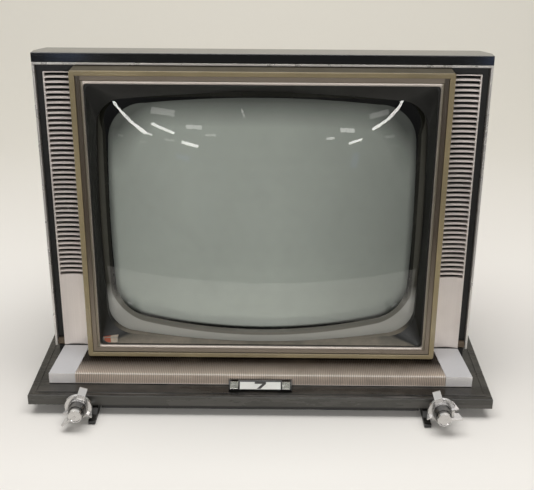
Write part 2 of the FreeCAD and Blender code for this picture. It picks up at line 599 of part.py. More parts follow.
# Controls
def fin(points, thick, turn, x):
    """A plate standing out from the knob's axis, given by its (y, reach) outline."""
    plate = side_profile([(y, KNOB_Z + r) for y, r in points], x - thick / 2, x + thick / 2)
    plate.rotate(V(x, 0, KNOB_Z), V(0, 1, 0), 90 - turn)
    return plate


def outer_knob(x, tab_turn, wing_turns):
    """Chrome knob on a hollow shaft: collar, skirt and stepped barrel, one broad tab and two thin wings."""
    y = PLINTH_FRONT
    collar = rod_y(6.5, x, KNOB_Z, y - 22, y - 3)
    skirt = cone_y(SKIRT_R - 0.7, SKIRT_R, x, KNOB_Z, y - 19.5, y - 17)
    barrel = rod_y(11.5, x, KNOB_Z, y - 24, y - 19)
    step = cone_y(9.6, 10.4, x, KNOB_Z, y - 32.5, y - 23)
    reach = WING_REACH
    tab = fin([(y - 5, 4), (y - 5, reach - 1), (y - 8, reach), (y - 22, reach - 1.4), (y - 24, 4)],
              9.5, tab_turn, x)
    side = [(y - 4, 4), (y - 4, SKIRT_R - 1), (y - 22, reach), (y - 24, 4)]
    wings = [fin(side, 1.9, turn, x) for turn in wing_turns]
    shaft = rod_y(OUTER_R, x, KNOB_Z, y - 22, CONTROL_FRONT + 8)
    bore = rod_y(SPINDLE_R + RUN, x, KNOB_Z, y - 34, CONTROL_FRONT + 9)
    return joined([collar, skirt, barrel, step, tab, shaft] + wings).cut(bore)


def inner_knob(x, bar_turn):
    """Chrome button on a spindle, with a finger bar that reaches out over the outer knob's skirt."""
    y = PLINTH_FRONT
    button = cone_y(BUTTON_R - 0.5, BUTTON_R, x, KNOB_Z, -HALF_DEPTH, y - 33)
    dish = cone_y(BUTTON_R - 1.6, BUTTON_R - 2.4, x, KNOB_Z, -HALF_DEPTH - 0.01, -HALF_DEPTH + 0.5)
    tip = BAR_REACH
    bar = fin([(y - 34, 0), (y - 34, 12.2), (y - 26, 12.8), (y - 26, tip - 3.2), (y - 38.5, tip),
               (y - 39.5, tip - 1), (y - 40.2, 0)], 1.8, bar_turn, x)
    spindle = rod_y(SPINDLE_R, x, KNOB_Z, y - 35, CONTROL_FRONT + 18)
    return joined([button.cut(dish), bar, spindle])


def shaft_bushes():
    """Flanged bushes in the fascia that the two shafts turn in."""
    made, y = [], PLINTH_FRONT
    for x in (-KNOB_X, KNOB_X):
        flange = rod_y(8, x, KNOB_Z, y - 2.5, y - 0.05)
        sleeve = rod_y(5, x, KNOB_Z, y - 1, y + 3.4)
        made.append(joined([flange, sleeve]).cut(rod_y(OUTER_R + RUN, x, KNOB_Z, y - 4, y + 6)))
    return Part.makeCompound(made)


def volume_control():
    """Potentiometer with its mains switch behind, on a foot that stands on the base plate."""
    x, y = -KNOB_X, CONTROL_FRONT
    body = joined([rod_y(12, x, KNOB_Z + 4.5, y, y + 12), rod_y(9, x, KNOB_Z + 4.5, y + 11, y + 24),
                   box(x - 11, x + 11, y, y + 4, PLINTH_FOOT + 2.2, KNOB_Z + 6)])
    low = box(x - 20, x + 20, y - 1, y + 30, 0, PLINTH_FOOT + 2.2)
    return body.cut([low] + twin_bore(x))


def twin_bore(x):
    """Bore for a hollow shaft with the spindle that goes on beyond it."""
    y = CONTROL_FRONT
    return [rod_y(OUTER_R + RUN, x, KNOB_Z, y - 1, y + 8.5), rod_y(SPINDLE_R + RUN, x, KNOB_Z, y, y + 18.5)]


def channel_tuner():
    """Turret tuner: a tinned box with two small valves lying behind it."""
    x, y, z0 = KNOB_X, CONTROL_FRONT, PLINTH_FOOT + 2.2
    can = box(x - 27, x + 27, y, y + 62, z0, 45.5)
    valves = [rod_y(8, x + s * 13, 31, y + 61, y + 80) for s in (-1, 1)]
    ridge = [box(x - 27.6, x + 27.6, y + d, y + d + 1.5, z0, 45.8) for d in (2, 30, 58)]
    return joined([can] + ridge + valves).cut(twin_bore(x))


# Chassis
def chassis_pan():
    top, y0, y1, half = CHASSIS_TOP, 2.0, 138.0, 180.0
    inside = half - 1.4
    pan = box(-half, half, y0, y1, 60, top).cut(box(-inside, inside, y0 + 1.4, y1 - 1.4, 59, top - 1.4))
    feet = [box(s * 150 - 14, s * 150 + 14, y0, y0 + 9, CABINET_FOOT, 61) for s in (-1, 1)]
    return joined([pan] + feet)


def valves():
    glass, z = [], CHASSIS_TOP
    for x, y, radius, tall in ((-78, 66, 10.5, 46), (-78, 98, 10.5, 52), (-44, 70, 9, 36), (-44, 98, 10.5, 46),
                               (44, 70, 9, 36), (44, 98, 10.5, 52), (70, 68, 10.5, 46)):
        bulb = joined([rod_z(radius, x, y, z + 6, z + tall), rod_z(radius - 2.5, x, y, z, z + 8)])
        bulb = bulb.makeFillet(3.5, [e for e in bulb.Edges if e.BoundBox.ZMin > z + tall - 0.1])
        glass.append(joined([bulb, Part.makeCone(2.4, 0.6, 5, V(x, y, z + tall - 0.5))]))
    return Part.makeCompound(glass)


def power_transformer():
    x, y, z = -140, 88, CHASSIS_TOP
    stack = box(x - 30, x + 30, y - 12, y + 12, z + 4, z + 56)
    bells = [box(x - 22, x + 22, y + s * 18 - 7, y + s * 18 + 7, z + 8, z + 52) for s in (-1, 1)]
    feet = [box(x + s * 26 - 5, x + s * 26 + 5, y - 16, y + 16, z, z + 4.5) for s in (-1, 1)]
    return joined([stack] + bells + feet)


def flyback_transformer():
    x, y, z = 140, 85, CHASSIS_TOP
    core = box(x - 30, x + 26, y - 9, y + 9, z + 6, z + 66)
    core = core.cut(box(x - 19, x + 15, y - 10, y + 10, z + 17, z + 55))
    winding = rod_z(17, x + 20.5, y, z + 22, z + 50).common(box(x, x + 50, y - 20, y + 20, z, z + 80))
    cap = rod_z(7, x + 6, y, z + 65, z + 72)
    feet = box(x - 30, x + 26, y - 14, y + 14, z, z + 7)
    return joined([core, winding, cap, feet])


SPEAKER_X, SPEAKER_Z, SPEAKER_Y = -225.5, 275.0, FRONT + TRIM_DEPTH + 8.1


def oval(radius, y0, y1):
    """Upright oval disc of the slim loudspeaker."""
    x, z, half = SPEAKER_X, SPEAKER_Z, 45.0
    ends = [rod_y(radius, x, z + s * half, y0, y1) for s in (-1, 1)]
    return joined([box(x - radius, x + radius, y0, y1, z - half, z + half)] + ends)


def speaker_basket():
    """Slim oval loudspeaker frame behind the left column, with its magnet."""
    x, y, z = SPEAKER_X, SPEAKER_Y, SPEAKER_Z
    rim = oval(14, y, y + 3).cut(oval(11, y - 1, y + 4))
    arms = [box(x - 14, x + 14, y + 2.9, y + 16, z + s * 26 - 1, z + s * 26 + 1) for s in (-1, 1)]
    plate = box(x - 13, x + 13, y + 15.5, y + 18, z - 27, z + 27)
    return joined([rim] + arms + [plate, rod_y(13, x, z, y + 17.5, y + 32)])


def speaker_cone():
    x, y, z = SPEAKER_X, SPEAKER_Y + 0.2, SPEAKER_Z
    rim = oval(10.8, y, y + 2).cut(rod_y(8.6, x, z, y - 1, y + 3))
    dish = cone_y(10.2, 4, x, z, y + 1.9, y + 14.8).cut(cone_y(9.2, 3, x, z, y + 1, y + 14.2))
    return joined([rim, dish])


def hold_controls():
    """The two hold potentiometers on their bracket at the back of the chassis."""
    made = box(-HOLD_X - 14, HOLD_X + 14, 124, 126, CHASSIS_TOP, HOLD_Z + 12)
    pots = [rod_y(11, x, HOLD_Z, 113, 125) for x in (-HOLD_X, HOLD_X)]
    body = joined([made, box(-HOLD_X - 14, HOLD_X + 14, 118, 126, CHASSIS_TOP, CHASSIS_TOP + 1.5)] + pots)
    return body.cut([rod_y(SHAFT_R + RUN, x, HOLD_Z, 116, 127) for x in (-HOLD_X, HOLD_X)])


def hold_knob(x):
    y = COVER_BACK
    grip = joined([rod_y(9, x, HOLD_Z, y + 0.8, y + 3), rod_y(7.5, x, HOLD_Z, y + 2.5, y + 13)])
    turns = [math.radians(30 * i) for i in range(12)]
    flutes = [rod_y(1.0, x + 8 * math.cos(a), HOLD_Z + 8 * math.sin(a), y + 3, y + 14) for a in turns]
    return joined([grip.cut(flutes), rod_y(SHAFT_R, x, HOLD_Z, 117, y + 3)])


def ac_inlet():
    """Interlock inlet in the back cover; its two pins stand in an open recess."""
    x, z = INLET_X, 85.0
    body = box(x - 15, x + 15, 136, COVER_BACK + 2, z - 9, z + 9)
    body = body.cut(box(x - 11, x + 11, 139, COVER_BACK + 3, z - 6, z + 6))
    pins = [rod_y(1.6, x + s * 5, z, 138, 149) for s in (-1, 1)]
    return joined([body] + pins)


def antenna_board():
    x, z, y = 105.0, 88.0, COVER_BACK
    plate = box(x - 28, x + 28, y + 0.05, y + 2.5, z - 10, z + 10)
    at = [x - 21 + 14 * i for i in range(4)]
    heads = [rod_y(3.4, a, z, y + 2.4, y + 5.4) for a in at]
    slots = [box(a - 4, a + 4, y + 4.5, y + 6, z - 0.4, z + 0.4) for a in at]
    return joined([plate] + heads).cut(slots)


NODES = {
    "top_panel": top_panel,
    "right_side_panel": side_panel,
    "left_side_panel": lambda: mirrored(side_panel()),
    "riser": riser,
    "baffle": baffle,
    "front_surround": front_surround,
    "chrome_trim": chrome_trim,
    "grille_right": grille,
    "grille_left": lambda: mirrored(grille()),
    "grille_cloths": grille_cloths,
    "back_cover": back_cover,
    "screws": screws,
    "bezel_rim": bezel_rim,
    "bezel_frame": bezel_frame,
    "bezel_trim": bezel_trim,
    "screen_mask": screen_mask,
    "badge": badge,
    "safety_panel": safety_panel,
    "tube_faceplate": tube_faceplate,
    "phosphor_screen": phosphor_screen,
    "tube_funnel": tube_funnel,
    "tube_neck": tube_neck,
    "electron_gun": electron_gun,
    "tube_base": tube_base,
    "tube_socket": tube_socket,
    "implosion_band": implosion_band,
    "anode_lead": anode_lead,
    "yoke_core": yoke_core,
    "yoke_coils": yoke_coils,
    "centring_ring_front": lambda: centring_ring(118, 25),
    "centring_ring_rear": lambda: centring_ring(122.5, -35),
    "plinth": plinth,
    "sub_base": sub_base,
    "runner_right": runner,
    "runner_left": lambda: mirrored(runner()),
    "deck_ribbed": deck_ribbed,
    "deck_cap_right": deck_cap,
    "deck_cap_left": lambda: mirrored(deck_cap()),
    "label_housing": label_housing,
    "label_plate": label_plate,
    "key_right": key,
    "key_left": lambda: mirrored(key()),
    "volume_knob": lambda: outer_knob(-KNOB_X, 73, (205, -38)),
    "contrast_knob": lambda: inner_knob(-KNOB_X, 219),
    "channel_knob": lambda: outer_knob(KNOB_X, 108, (12, -148)),
    "fine_tuning_knob": lambda: inner_knob(KNOB_X, 2),
    "shaft_bushes": shaft_bushes,
    "volume_control": volume_control,
    "channel_tuner": channel_tuner,
    "chassis_pan": chassis_pan,
    "valves": valves,
    "power_transformer": power_transformer,
    "flyback_transformer": flyback_transformer,
    "speaker_basket": speaker_basket,
    "speaker_cone": speaker_cone,
    "hold_controls": hold_controls,
    "vertical_hold_knob": lambda: hold_knob(-HOLD_X),
    "horizontal_hold_knob": lambda: hold_knob(HOLD_X),
    "ac_inlet": ac_inlet,
    "antenna_board": antenna_board,
}

os.makedirs("parts", exist_ok=True)
for node, make in NODES.items():
    shape = make()
    assert shape.isValid() and shape.Solids, node
    shape.exportStep("parts/" + node + ".step")
    print(node, len(shape.Solids), "solid", round(shape.Volume / 1000, 1), "cm3")
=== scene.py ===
import math

import bpy
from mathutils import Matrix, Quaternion, Vector


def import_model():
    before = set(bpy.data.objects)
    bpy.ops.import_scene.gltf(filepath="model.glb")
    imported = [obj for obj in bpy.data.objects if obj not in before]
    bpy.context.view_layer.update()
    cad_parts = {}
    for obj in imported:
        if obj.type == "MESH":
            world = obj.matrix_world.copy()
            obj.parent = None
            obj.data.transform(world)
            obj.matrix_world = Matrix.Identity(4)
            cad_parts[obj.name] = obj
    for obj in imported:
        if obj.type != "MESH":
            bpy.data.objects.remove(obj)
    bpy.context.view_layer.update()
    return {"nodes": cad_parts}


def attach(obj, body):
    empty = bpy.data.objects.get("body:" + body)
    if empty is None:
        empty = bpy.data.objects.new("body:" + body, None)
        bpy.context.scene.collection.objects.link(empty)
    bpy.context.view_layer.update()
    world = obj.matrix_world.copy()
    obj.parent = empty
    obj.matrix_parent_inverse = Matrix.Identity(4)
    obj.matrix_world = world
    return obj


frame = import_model()
NODES = frame["nodes"]

# Places in the CAD that the looks follow, in metres
FRONT = -0.088                    # front plane of the chrome trim
DECK_FRONT = FRONT - 0.0555
TUBE_Z = 0.2245                   # height of the tube's axis
FACE_RADIUS = 1.1
FACE_APEX = FRONT - 0.023
PICTURE_HALF = (0.1845, 0.150)    # half width and height of the phosphor
BADGE_X = -0.1882                 # seam between the badge's two tiles
KNOB_X, KNOB_Z, KNOB_NOSE = 0.217, 0.0225, -0.209
RIB_PITCH, RIB_PHASE = 0.00226, 0.70    # and where the grooves fall in each pitch
DUST = (150, 140, 126)


# ---------------------------------------------------------------- materials
def linear(rgb):
    """0-255 screen colour to scene-linear."""
    out = []
    for c in rgb:
        c = c / 255
        out.append(c / 12.92 if c <= 0.04045 else ((c + 0.055) / 1.055) ** 2.4)
    return (*out, 1.0)


class Graph:
    """Short names for making a material's nodes."""

    def __init__(self, name):
        self.mat = bpy.data.materials.new(name)
        self.mat.use_nodes = True
        self.tree = self.mat.node_tree
        self.tree.nodes.clear()
        self.out = self.tree.nodes.new("ShaderNodeOutputMaterial")
        self.where = self.add("TexCoord").outputs["Object"]

    def add(self, kind, **settings):
        n = self.tree.nodes.new("ShaderNode" + kind)
        for key, value in settings.items():
            setattr(n, key, value)
        return n

    def put(self, socket, value):
        if isinstance(value, bpy.types.NodeSocket):
            self.tree.links.new(value, socket)
        elif value is not None:
            socket.default_value = value

    def math(self, op, a, b=None, c=None, clamp=False):
        n = self.add("Math", operation=op, use_clamp=clamp)
        for s, v in zip(n.inputs, (a, b, c)):
            self.put(s, v)
        return n.outputs[0]

    def times(self, a, b):
        return self.math("MULTIPLY", a, b)

    def plus(self, a, b):
        return self.math("ADD", a, b)

    def minus(self, a, b):
        return self.math("SUBTRACT", a, b)

    def size(self, a):
        return self.math("ABSOLUTE", a)

    def hypotenuse(self, a, b):
        return self.math("SQRT", self.plus(self.times(a, a), self.times(b, b)))

    def scaled(self, scale, at=(0, 0, 0), turn=(0, 0, 0)):
        n = self.add("Mapping")
        self.put(n.inputs["Vector"], self.where)
        self.put(n.inputs["Location"], at)
        self.put(n.inputs["Rotation"], turn)
        self.put(n.inputs["Scale"], scale)
        return n.outputs[0]

    def noise(self, scale, detail=3.0, rough=0.55, vector=None, distortion=0.0):
        n = self.add("TexNoise")
        self.put(n.inputs["Vector"], vector or self.where)
        self.put(n.inputs["Scale"], scale)
        self.put(n.inputs["Detail"], detail)
        self.put(n.inputs["Roughness"], rough)
        self.put(n.inputs["Distortion"], distortion)
        return n.outputs["Fac"]

    def ramp(self, value, lo, hi, out_lo=0.0, out_hi=1.0):
        n = self.add("MapRange")
        for i, v in enumerate((value, lo, hi, out_lo, out_hi)):
            self.put(n.inputs[i], v)
        return n.outputs[0]

    def blend(self, fac, a, b):
        """Mix of two plain values."""
        return self.plus(a, self.times(fac, self.minus(b, a)))

    def mix(self, fac, a, b, how="MIX"):
        n = self.add("Mix", data_type="RGBA", blend_type=how)
        self.put(n.inputs[0], fac)
        self.put(n.inputs[6], a)
        self.put(n.inputs[7], b)
        return n.outputs[2]

    def bump(self, height, strength, distance, normal=None):
        n = self.add("Bump")
        self.put(n.inputs["Strength"], strength)
        self.put(n.inputs["Distance"], distance)
        self.put(n.inputs["Height"], height)
        self.put(n.inputs["Normal"], normal)
        return n.outputs[0]

    def split(self, vector):
        n = self.add("SeparateXYZ")
        self.put(n.inputs[0], vector)
        return n.outputs[0], n.outputs[1], n.outputs[2]

    def radial(self):
        """Unit vector away from the centre of the tube's face, and the distance from it."""
        away = self.add("VectorMath", operation="SUBTRACT")
        self.put(away.inputs[0], self.where)
        self.put(away.inputs[1], (0.0, FACE_APEX + FACE_RADIUS, TUBE_Z))
        unit = self.add("VectorMath", operation="NORMALIZE")
        length = self.add("VectorMath", operation="LENGTH")
        for n in (unit, length):
            self.put(n.inputs[0], away.outputs[0])
        return unit.outputs[0], length.outputs["Value"]

    def soft_edges(self, radius):
        n = self.add("Bevel", samples=4)
        self.put(n.inputs["Radius"], radius)
        return n.outputs[0]

    def facing_up(self):
        return self.ramp(self.split(self.add("NewGeometry").outputs["Normal"])[2], 0.55, 0.95)

    def dusty(self, scale, bare):
        """Where dust lies: in patches on what faces up."""
        return self.times(self.facing_up(), self.ramp(self.noise(scale, 6.0, 0.7), bare, 0.75))

    def finish(self, **inputs):
        p = self.add("BsdfPrincipled")
        for key, value in inputs.items():
            self.put(p.inputs[key.replace("_", " ")], value)
        self.put(self.out.inputs["Surface"], p.outputs[0])
        return self.mat


def plastic(name, colour, rough, mottle=0.15, grain=0.05, bump=0.25, dust=0.25, scratch=0.25, coat=0.0,
            ledge_highlight=None, up_face_tone=None):
    """Moulded or lacquered plastic: mottled tone, fine grain, hairline scratches, dust on what faces up.

    A frame's level members can be painted a paler tone as a painted highlight, the same tone also rising
    towards the frame's bottom; what faces up can get another matt tone, with less coat.
    """
    g = Graph(name)
    base = linear(colour)
    cloud = g.noise(9.0, 4.0, 0.6)
    fine = g.noise(1400.0, 2.0)
    lines = g.noise(60.0, 3.0, 0.7, g.scaled((1.0, 22.0, 22.0), turn=(0.2, 0.4, 0.9)), 0.4)
    hair = g.ramp(lines, 0.66, 0.70)
    tone = g.ramp(cloud, 0.3, 0.7, 1 - mottle, 1 + mottle)
    c = g.add("CombineColor")
    for s in c.inputs[:3]:
        g.put(s, g.times(tone, g.ramp(fine, 0.2, 0.8, 1 - grain, 1 + grain)))
    shade = g.mix(1.0, base, c.outputs[0], "MULTIPLY")
    light = tuple(min(1.0, v * 1.9 + 0.035) for v in base[:3]) + (1.0,)
    scratched = g.mix(g.times(hair, scratch), shade, light)
    lay = g.times(g.dusty(42.0, 0.35), dust)
    # painted highlight: a paler tone on a frame's level members, and the same tone towards the frame's bottom
    if ledge_highlight:
        x, _, z = g.split(g.where)
        level = g.math("MAXIMUM", g.ramp(g.size(x), 0.2035, 0.2050, 0.55, 0.0), g.ramp(z, 0.07, 0.22, 0.5, 0.0))
        scratched = g.mix(level, scratched, linear(ledge_highlight))
    # what faces up gets another matt tone, with less coat and more roughness: paler on the screen mask, darker
    # on the amber rim
    if up_face_tone:
        scratched = g.mix(g.times(g.facing_up(), 0.9), scratched, linear(up_face_tone))
        coat = g.ramp(g.facing_up(), 0.0, 0.6, coat, 0.0)
        rough = g.ramp(g.facing_up(), 0.0, 0.6, rough, 0.7)
    colour_out = g.mix(lay, scratched, linear(DUST))
    patch = g.times(g.ramp(g.noise(26.0, 5.0, 0.65), 0.3, 0.7, 0.78, 1.25), rough)
    rough_out = g.plus(patch, g.times(lay, 0.5))
    normal = g.bump(g.plus(fine, g.times(hair, -0.6)), bump, 0.00006, g.soft_edges(0.0005))
    return g.finish(Base_Color=colour_out, Roughness=g.math("MINIMUM", rough_out, 0.95), Normal=normal,
                    Coat_Weight=coat, Coat_Roughness=0.08)


def metal(name, colour, rough, metallic=1.0, brush=None, tarnish=0.25, dust=0.15, level_highlight_tone=None,
          painted_top_tone=None, painted_shade_from=None, painted_barrel_shade=None):
    """Metal: brushing along one axis, cloudy tarnish, pitting, a little dust.

    Other tones can be given: a lighter one on level members as a painted highlight, one on tops (paler: painted
    highlight;
    darker: painted shade) and a dark one on the barrels of the front knobs as painted shade; what lies deeper
    than a given depth is painted black as painted shade.
    """
    g = Graph(name)
    base = linear(colour)
    dark = tuple(v * 0.55 for v in base[:3]) + (1.0,)
    cloud = g.noise(30.0, 6.0, 0.65)
    if brush:
        stretch = {"x": (4, 900, 900), "y": (900, 4, 900), "z": (900, 900, 4)}[brush]
        streak = g.noise(1.0, 2.0, 0.6, g.scaled(stretch))
    else:
        streak = g.noise(1100.0, 2.0)
    pits = g.ramp(g.noise(420.0, 4.0, 0.8), 0.66, 0.78)
    worn = g.times(g.ramp(cloud, 0.48, 0.75), tarnish)
    tone = g.mix(worn, base, dark)
    tone = g.mix(g.times(pits, tarnish), tone, dark)
    tone = g.mix(g.ramp(streak, 0.25, 0.75, 0.0, 0.12), tone, dark)
    # painted highlight: a lighter tone on the level members
    if level_highlight_tone:
        tone = g.mix(g.ramp(g.size(g.split(g.where)[0]), 0.2005, 0.2020, 1.0, 0.0), tone,
                     linear(level_highlight_tone))
    # painted light on tops: a paler tone is a painted highlight, a darker one painted shade; tops also shine
    # less as metal
    if painted_top_tone:
        tone = g.mix(g.facing_up(), tone, linear(painted_top_tone))
        metallic = g.times(g.ramp(g.facing_up(), 0.0, 1.0, 1.0, 0.5), metallic)
    # painted shade: a dark tone on the knob barrels behind their fronts
    if painted_barrel_shade:
        x, y, z = g.split(g.where)
        reach = g.hypotenuse(g.minus(g.size(x), KNOB_X), g.minus(z, KNOB_Z))
        knob_shade_mask = g.times(g.ramp(reach, 0.0108, 0.0124, 1.0, 0.0), g.ramp(y, KNOB_NOSE, KNOB_NOSE + 0.002))
        tone = g.mix(g.times(knob_shade_mask, 0.85), tone, linear(painted_barrel_shade))
    lay = g.times(g.dusty(60.0, 0.4), dust)
    tone = g.mix(lay, tone, linear(DUST))
    # painted shade: what lies deeper than the given depth turns black and stops shining as metal
    if painted_shade_from:
        deep_shade = g.ramp(g.split(g.where)[1], painted_shade_from, painted_shade_from + 0.0022)
        tone = g.mix(deep_shade, tone, linear((14, 12, 10)))
        metallic = g.times(g.minus(1.0, deep_shade), metallic)
    roughness = g.plus(g.ramp(cloud, 0.3, 0.75, rough * 0.8, rough * 1.5), g.times(lay, 0.4))
    normal = g.bump(g.minus(streak, pits), 0.3, 0.00004, g.soft_edges(0.0004))
    return g.finish(Base_Color=tone, Metallic=g.minus(metallic, lay), Roughness=roughness, Normal=normal)


def plinth_lacquer():
    """Black lacquer, smeared lengthwise, with pale scrape lines along its front edge, part real scratches and
    part painted highlight, and a paler tone painted on its front face as painted light.
    """
    g = Graph("plinth_black")
    y = g.split(g.where)[1]
    up = g.facing_up()
    smear = g.noise(3.0, 6.0, 0.7, g.scaled((1.0, 9.0, 9.0)), 0.6)
    fine = g.noise(900.0, 2.0)
    tone = g.mix(g.ramp(smear, 0.46, 0.7, 0.0, 0.4), linear((22, 21, 19)), linear((92, 90, 86)))
    scrape = g.ramp(g.noise(1.0, 5.0, 0.7, g.scaled((9.0, 420.0, 420.0)), 0.3), 0.52, 0.66)
    # pale scrape lines along the top's front edge: part real scratches, part painted highlight along that edge
    front = g.times(g.ramp(y, FRONT - 0.0830, FRONT - 0.0700, 0.6, 0.0), up)
    tone = g.mix(g.times(front, scrape), tone, linear((150, 147, 144)))
    # front face: a paler tone painted on as painted light, broken up by the smears
    fascia_painted_light = g.ramp(y, FRONT - 0.0834, FRONT - 0.0828, 0.5, 0.0)
    tone = g.mix(g.times(fascia_painted_light, g.ramp(smear, 0.3, 0.6, 0.6, 1.0)), tone, linear((104, 102, 96)))
    lay = g.times(g.dusty(42.0, 0.4), 0.12)
    tone = g.mix(lay, tone, linear(DUST))
    rough = g.ramp(smear, 0.35, 0.7, 0.16, 0.42)
    return g.finish(Base_Color=tone, Roughness=rough, Coat_Weight=0.12, Coat_Roughness=0.2,
                    Specular_IOR_Level=0.35,
                    Normal=g.bump(g.plus(fine, smear), 0.2, 0.00006, g.soft_edges(0.0007)))


def ribbed_deck():
    """Champagne metal ribs, with a painted highlight along the lip and the foot of the front, and painted shade
    towards the cabinet and in the grooves.
    """
    g = Graph("champagne_ribs")
    x, y, z = g.split(g.where)
    # painted shade: the top darkens towards the cabinet, under the bezel
    cabinet_shade = g.math("POWER", g.ramp(y, DECK_FRONT + 0.0010, DECK_FRONT + 0.0265), 0.8)
    patch = g.noise(16.0, 5.0, 0.65)
    tone = g.mix(cabinet_shade, linear((236, 220, 204)), linear((44, 35, 26)))
    tone = g.mix(g.ramp(patch, 0.48, 0.68, 0.0, 0.35), tone, linear((96, 84, 70)))
    # painted shade in the grooves between the ribs, stronger towards the front
    rib = g.math("FRACT", g.math("DIVIDE", x, RIB_PITCH))
    groove_shade = g.ramp(g.size(g.minus(rib, RIB_PHASE)), 0.22, 0.31, 1.0, 0.0)
    depth = g.plus(g.ramp(y, DECK_FRONT + 0.0010, DECK_FRONT + 0.0175, 0.12, -0.22), 0.26)
    tone = g.mix(g.times(groove_shade, depth), tone, linear((40, 33, 26)))
    # painted highlight along the lip of the top and along the foot of the front face
    lip_highlight = g.times(g.ramp(y, DECK_FRONT + 0.0010, DECK_FRONT + 0.0035, 1.0, 0.0), g.ramp(z, 0.0396, 0.0408))
    foot = g.ramp(y, DECK_FRONT + 0.0015, DECK_FRONT + 0.0025, 1.0, 0.0)
    foot = g.times(g.ramp(z, 0.0282, 0.0290, 0.7, 0.0), foot)
    tone = g.mix(g.math("MAXIMUM", lip_highlight, foot), tone, linear((255, 248, 240)))
    rough = g.ramp(g.noise(60.0, 5.0), 0.3, 0.7, 0.32, 0.5)
    return g.finish(Base_Color=tone, Metallic=0.35, Roughness=rough,
                    Normal=g.bump(g.noise(900.0, 2.0), 0.2, 0.00005, g.soft_edges(0.0003)))


def face_glass(name):
    """The tube's front glass: clear, with a painted border; its gloss follows the face's exact sphere."""
    g = Graph(name)
    radial, reach = g.radial()
    outside = g.ramp(reach, FACE_RADIUS - 0.002, FACE_RADIUS - 0.001)
    smear = g.noise(14.0, 6.0, 0.7, distortion=0.6)
    shine = g.add("BsdfGlossy")
    g.put(shine.inputs["Roughness"], g.ramp(smear, 0.35, 0.75, 0.004, 0.018))
    g.put(shine.inputs["Normal"], g.bump(g.noise(9.0, 1.0), 0.02, 0.0004, radial))
    fresnel = g.add("Fresnel")
    g.put(fresnel.inputs["IOR"], 1.6)
    g.put(fresnel.inputs["Normal"], radial)
    through = g.add("BsdfTransparent")
    g.put(through.inputs[0], (0.965, 0.972, 0.97, 1.0))
    film = g.add("BsdfDiffuse")
    g.put(film.inputs[0], linear((168, 166, 158)))
    # painted border: a pale outer band, then a dark line round the picture; both are painted lighter at the
    # bottom as painted light, where more light falls than under the hood at the top, and there they follow the
    # picture's outline instead of the glass's
    edge = border_distance(g, 0.1935, 0.1593, 0.034)
    inner = border_distance(g, 0.1870, 0.1480, 0.024, TUBE_Z + 0.0062, 0.9, 0.65)
    height = g.split(g.where)[2]
    low = g.ramp(height, 0.118, 0.140, 1.0, 0.0)
    pale_from = g.ramp(height, 0.335, 0.372, -0.0078, 0.0015)
    dark_from = g.ramp(height, 0.335, 0.372, -0.0118, -0.0050)
    high_band, high_dark = (g.ramp(g.minus(edge, start), 0.0, 0.001) for start in (pale_from, dark_from))
    band = g.blend(low, high_band, g.ramp(inner, 0.0075, 0.0090))
    dark = g.blend(low, high_dark, g.ramp(inner, -0.001, 0.0))
    paint = g.add("BsdfDiffuse")
    # the paler paint at the bottom is painted light
    pale = g.mix(low, linear((74, 73, 65)), linear((178, 178, 171)))
    g.put(paint.inputs[0], g.mix(band, g.mix(low, linear((30, 30, 23)), linear((118, 117, 109))), pale))
    seen = g.add("MixShader")
    g.put(seen.inputs[0], g.times(dark, outside))
    g.put(seen.inputs[1], through.outputs[0])
    g.put(seen.inputs[2], paint.outputs[0])
    dull = g.add("MixShader")
    g.put(dull.inputs[0], g.times(g.ramp(smear, 0.45, 0.8, 0.0, 0.05), outside))
    g.put(dull.inputs[1], seen.outputs[0])
    g.put(dull.inputs[2], film.outputs[0])
    top = g.add("MixShader")
    g.put(top.inputs[0], g.times(fresnel.outputs[0], outside))
    g.put(top.inputs[1], dull.outputs[0])
    g.put(top.inputs[2], shine.outputs[0])
    g.put(g.out.inputs["Surface"], top.outputs[0])
    return g.mat


def border_distance(g, half_x, half_z, corner, centre=TUBE_Z, bow_x=0.0, bow_z=0.2):
    """Distance outside a rounded rectangle whose sides bow outwards, negative inside."""
    x, _, z = g.split(g.where)
    rise = g.minus(z, centre)
    dx = g.minus(g.size(x), half_x - corner)
    dx = g.plus(dx, g.times(g.times(rise, rise), bow_x))
    dz = g.minus(g.size(rise), half_z - corner)
    dz = g.plus(dz, g.times(g.times(x, x), bow_z))
    ox, oz = g.math("MAXIMUM", dx, 0.0), g.math("MAXIMUM", dz, 0.0)
    out = g.hypotenuse(ox, oz)
    inner = g.math("MINIMUM", g.math("MAXIMUM", dx, dz), 0.0)
    return g.minus(g.plus(out, inner), corner)


def phosphor():
    """Pale powder behind the glass, with painted shade towards its sides (most to the right) and round its
    edge, a little painted light towards the bottom, and shaded at the top by the hood.
    """
    g = Graph("phosphor")
    x, _, z = g.split(g.where)
    cloud = g.noise(7.0, 3.0, 0.5)
    # painted shade towards both sides, most to the right, and a little painted light towards the bottom
    side = g.times(g.ramp(x, 0.02, 0.17, 1.0, 0.62), g.ramp(x, -0.19, -0.09, 0.86, 1.0))
    side = g.times(side, g.ramp(z, 0.08, 0.34, 1.06, 1.0))
    # painted shade round the edge of the picture
    rim = g.ramp(border_distance(g, *PICTURE_HALF, 0.046), -0.006, 0.001, 1.0, 0.7)
    reach = border_distance(g, *PICTURE_HALF, 0.072)
    hood = g.times(g.ramp(reach, -0.034, -0.004, 0.0, 0.72), g.ramp(z, 0.28, 0.335))
    side = g.times(side, g.minus(1.0, hood))
    tone = g.times(g.times(side, rim), g.ramp(cloud, 0.3, 0.7, 0.96, 1.04))
    c = g.add("CombineColor")
    for socket, level in zip(c.inputs[:3], (0.88, 0.93, 0.825)):
        g.put(socket, g.times(tone, level))
    return g.finish(Base_Color=c.outputs[0], Roughness=0.9, Specular_IOR_Level=0.1, Normal=g.radial()[0])


